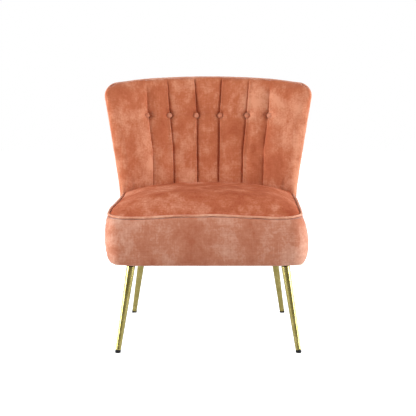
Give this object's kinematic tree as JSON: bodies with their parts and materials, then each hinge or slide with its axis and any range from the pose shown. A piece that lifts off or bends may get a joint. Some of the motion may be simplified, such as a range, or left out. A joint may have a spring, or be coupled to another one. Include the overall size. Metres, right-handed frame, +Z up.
{
  "type": "upholstered accent chair",
  "caption": "Armless upholstered chair with a tight padded seat, a flared wrap-round pleated and buttoned back, and splayed tapered metal legs.",
  "frame": {"origin": "on the floor, under the middle of the chair's overall box", "axes": "+Z up, the chair faces -Y, +X is the sitter's left, which is the viewer's right from the front"},
  "size_m": [0.6526, 0.6118, 0.778],
  "materials": {
    "black_plastic": "moulded nylon, satin",
    "brass_plate": "polished brass-plated steel tube",
    "dust_cloth": "black non-woven dust cover",
    "felt": "grey needled felt",
    "fibreboard": "thin brown fibreboard",
    "foam": "open-cell upholstery foam and wadding",
    "timber": "plain sawn hardwood and bent plywood, unfinished",
    "twine": "waxed upholstery twine",
    "velvet": "crushed velvet, salmon terracotta, low pile with a mottled sheen",
    "zinc_steel": "zinc-plated steel"
  },
  "bodies": {
    "root": {"back_bolt_washers": "zinc_steel", "back_bolts": "zinc_steel", "back_button_1": "velvet", "back_button_2": "velvet", "back_button_3": "velvet", "back_button_4": "velvet", "back_button_5": "velvet", "back_button_6": "velvet", "back_foam": "foam", "back_inner_cover": "velvet", "back_lining_board": "fibreboard", "back_outer_cover": "velvet", "back_rib_left": "timber", "back_rib_right": "timber", "back_shell": "timber", "back_stile_left": "timber", "back_stile_right": "timber", "back_top_batten": "timber", "back_welt": "velvet", "barrel_nuts": "zinc_steel", "button_anchors": "zinc_steel", "button_twines": "twine", "corner_block_front_left": "timber", "corner_block_front_right": "timber", "corner_block_rear_left": "timber", "corner_block_rear_right": "timber", "dust_cover": "dust_cloth", "dust_cover_staples": "zinc_steel", "foot_glide_front_left": "black_plastic", "foot_glide_front_right": "black_plastic", "foot_glide_rear_left": "black_plastic", "foot_glide_rear_right": "black_plastic", "leg_front_left": "brass_plate", "leg_front_right": "brass_plate", "leg_plate_front_left": "zinc_steel", "leg_plate_front_right": "zinc_steel", "leg_plate_rear_left": "zinc_steel", "leg_plate_rear_right": "zinc_steel", "leg_plate_screws": "zinc_steel", "leg_rear_left": "brass_plate", "leg_rear_right": "brass_plate", "leg_studs": "zinc_steel", "rear_corner_padding": "foam", "seat_border_cover": "velvet", "seat_border_padding": "foam", "seat_foam": "foam", "seat_front_rail": "timber", "seat_left_rail": "timber", "seat_rear_rail": "timber", "seat_right_rail": "timber", "seat_spring_1": "zinc_steel", "seat_spring_2": "zinc_steel", "seat_spring_3": "zinc_steel", "seat_spring_4": "zinc_steel", "seat_top_cover": "velvet", "seat_welt": "velvet", "spring_clip_nails": "zinc_steel", "spring_clips": "zinc_steel", "spring_deck_felt": "felt"}
  },
  "joints": []
}
